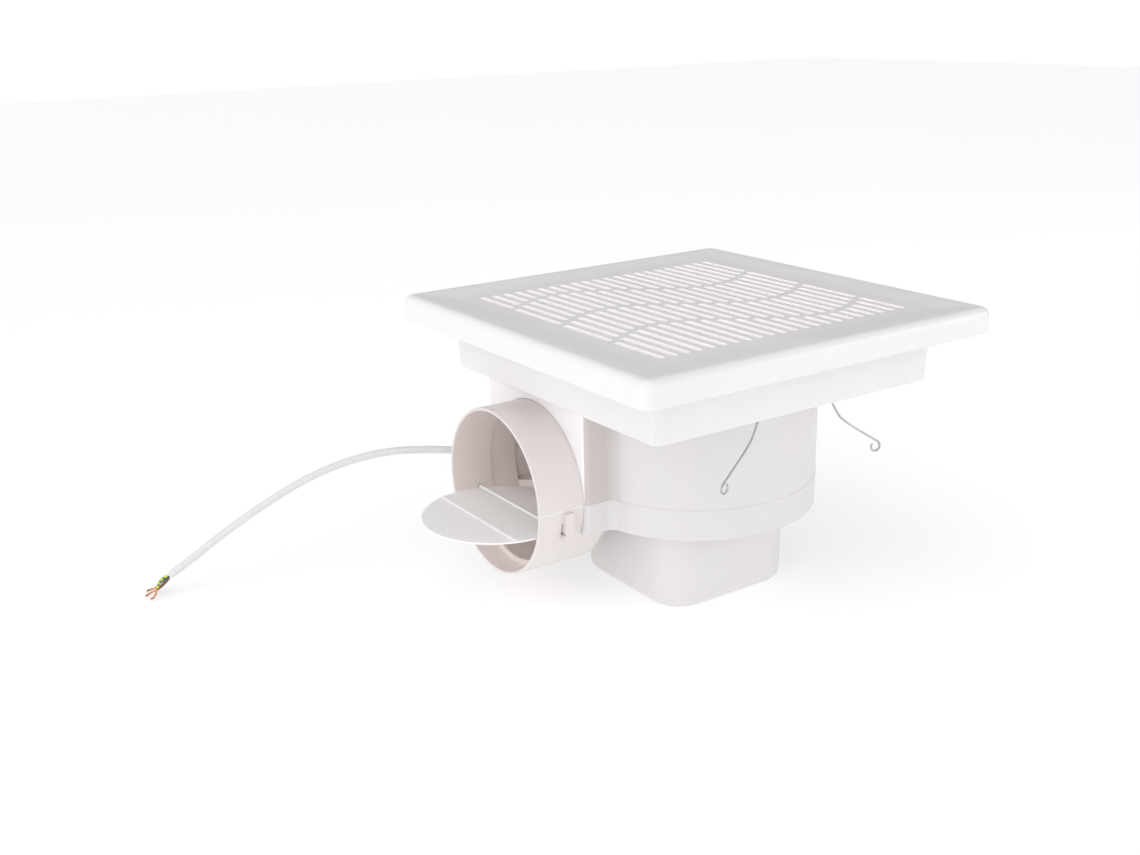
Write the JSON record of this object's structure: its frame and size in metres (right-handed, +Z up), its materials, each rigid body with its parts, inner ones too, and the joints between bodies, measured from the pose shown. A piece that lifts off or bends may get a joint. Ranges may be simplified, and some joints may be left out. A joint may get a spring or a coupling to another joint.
{
  "type": "bathroom extractor fan",
  "caption": "Square ceiling extractor fan with a slotted pull-down grille, side duct spigot with a back-draught flap, and a motor box.",
  "frame": {"origin": "centre of the motor box's flat bottom, on which the fan stands with its grille on top", "axes": "+Z up through the grille (down into the room when installed), -X out of the duct spigot, +Y to the side with the terminal box"},
  "size_m": [0.5002, 0.3535, 0.207],
  "materials": {
    "shell_plastic": "semi-gloss white moulded plastic",
    "panel_plastic": "semi-gloss white moulded plastic",
    "flap_plastic": "thin semi-gloss white plastic",
    "inner_plastic": "satin off-white plastic",
    "impeller_plastic": "satin light grey plastic",
    "spring_steel": "bright drawn spring wire",
    "shaft_steel": "ground steel",
    "zinc_steel": "zinc-plated pressed steel",
    "laminate_steel": "stacked electrical steel sheets",
    "copper_wire": "bare or enamelled copper wire",
    "rubber": "soft black rubber",
    "cord_sheath": "satin white cable sheath",
    "core_earth_plastic": "green and yellow striped insulation",
    "core_live_plastic": "brown insulation",
    "core_neutral_plastic": "blue insulation",
    "terminal_plastic": "cream connector plastic",
    "capacitor_plastic": "dark moulded case"
  },
  "bodies": {
    "housing": {"housing": "shell_plastic", "duct_collar": "shell_plastic", "inlet_ring": "inner_plastic", "stator_core": "laminate_steel", "winding_upper": "copper_wire", "winding_lower": "copper_wire", "motor_cap_upper": "zinc_steel", "motor_cap_lower": "zinc_steel", "bearing_upper": "shaft_steel", "bearing_lower": "shaft_steel", "motor_plate": "zinc_steel", "flap_pin": "shaft_steel", "terminal_box": "shell_plastic", "terminal_cover": "shell_plastic", "terminal_block": "terminal_plastic", "capacitor": "capacitor_plastic", "cable_gland": "inner_plastic", "motor_lead": "cord_sheath", "power_cord": "cord_sheath", "inlet_screw_1": "zinc_steel", "grommet_1": "rubber", "motor_screw_1": "zinc_steel", "inlet_screw_2": "zinc_steel", "grommet_2": "rubber", "motor_screw_2": "zinc_steel", "inlet_screw_3": "zinc_steel", "grommet_3": "rubber", "motor_screw_3": "zinc_steel", "inlet_screw_4": "zinc_steel", "grommet_4": "rubber", "motor_screw_4": "zinc_steel", "motor_bolt_1": "zinc_steel", "motor_bolt_nut_1": "zinc_steel", "cover_screw_1": "zinc_steel", "motor_bolt_2": "zinc_steel", "motor_bolt_nut_2": "zinc_steel", "cover_screw_2": "zinc_steel", "core_earth": "core_earth_plastic", "copper_earth": "copper_wire", "core_neutral": "core_neutral_plastic", "copper_neutral": "copper_wire", "core_live": "core_live_plastic", "copper_live": "copper_wire"},
    "panel": {"grille_panel": "panel_plastic", "spring_coil_front": "spring_steel", "spring_coil_rear": "spring_steel"},
    "impeller": {"impeller": "impeller_plastic", "impeller_nut": "zinc_steel", "motor_shaft": "shaft_steel", "rotor": "laminate_steel"},
    "duct_flap": {"duct_flap": "flap_plastic"},
    "spring_leg_front_left": {"spring_leg_front_left": "spring_steel"},
    "spring_leg_front_right": {"spring_leg_front_right": "spring_steel"},
    "spring_leg_rear_left": {"spring_leg_rear_left": "spring_steel"},
    "spring_leg_rear_right": {"spring_leg_rear_right": "spring_steel"}
  },
  "joints": [
    {"name": "impeller_spin", "type": "hinge", "parent": "housing", "child": "impeller", "pos_m": [0, 0, 0.1], "axis": [0, 0, 1], "continuous": true},
    {"name": "flap_swing", "type": "hinge", "parent": "housing", "child": "duct_flap", "pos_m": [-0.12, 0.04, 0.0645], "axis": [0, 1, 0], "range_deg": [0, 88]},
    {"name": "panel_pull", "type": "slide", "parent": "housing", "child": "panel", "axis": [0, 0, 1], "range_m": [0, 0.06]},
    {"name": "spring_front_left", "type": "hinge", "parent": "panel", "child": "spring_leg_front_left", "pos_m": [0, -0.1065, 0.192], "axis": [0.2419, -0.9703, 0], "range_deg": [0, 25]},
    {"name": "spring_front_right", "type": "hinge", "parent": "panel", "child": "spring_leg_front_right", "pos_m": [0, -0.1065, 0.192], "axis": [0.2419, 0.9703, 0], "range_deg": [0, 25]},
    {"name": "spring_rear_left", "type": "hinge", "parent": "panel", "child": "spring_leg_rear_left", "pos_m": [0, 0.1065, 0.192], "axis": [-0.2419, -0.9703, 0], "range_deg": [0, 25]},
    {"name": "spring_rear_right", "type": "hinge", "parent": "panel", "child": "spring_leg_rear_right", "pos_m": [0, 0.1065, 0.192], "axis": [-0.2419, 0.9703, 0], "range_deg": [0, 25]}
  ],
  "couplings": [
    {"joint": "spring_front_left", "follows": "panel_pull", "rad_per_m": 7.0395},
    {"joint": "spring_front_right", "follows": "panel_pull", "rad_per_m": 7.0395},
    {"joint": "spring_rear_left", "follows": "panel_pull", "rad_per_m": 7.0395},
    {"joint": "spring_rear_right", "follows": "panel_pull", "rad_per_m": 7.0395}
  ]
}
